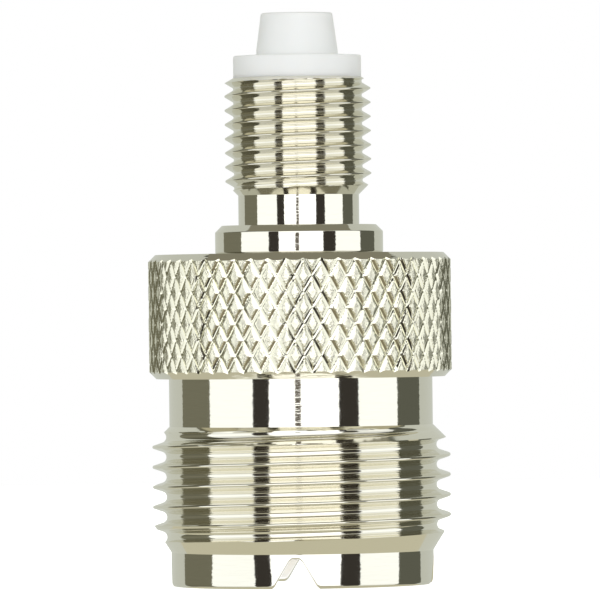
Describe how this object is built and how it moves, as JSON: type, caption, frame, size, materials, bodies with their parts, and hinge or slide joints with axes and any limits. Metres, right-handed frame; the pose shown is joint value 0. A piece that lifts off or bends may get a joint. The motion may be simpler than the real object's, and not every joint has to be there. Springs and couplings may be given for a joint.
{
  "type": "coax adapter",
  "caption": "Plated coax adapter joining a UHF jack with a notched rim, outside thread and knurled grip to a slim outside-threaded FME jack with a tapered white insulator.",
  "frame": {"origin": "on the axis, at the end face of the notched rim that the adapter stands on", "axes": "+Z along the axis from the UHF jack to the FME jack; one rim notch faces -Y"},
  "size_m": [0.016, 0.016, 0.0303],
  "materials": {
    "nickel_plate": "bright nickel plate on turned brass",
    "white_insulator": "turned white PTFE, slightly translucent",
    "gold_contact": "gold flash on turned brass"
  },
  "bodies": {
    "root": {"uhf_shell": "nickel_plate", "fme_body": "nickel_plate", "uhf_insulator": "white_insulator", "fme_insulator": "white_insulator", "uhf_contact": "gold_contact", "fme_contact": "gold_contact"}
  },
  "joints": []
}
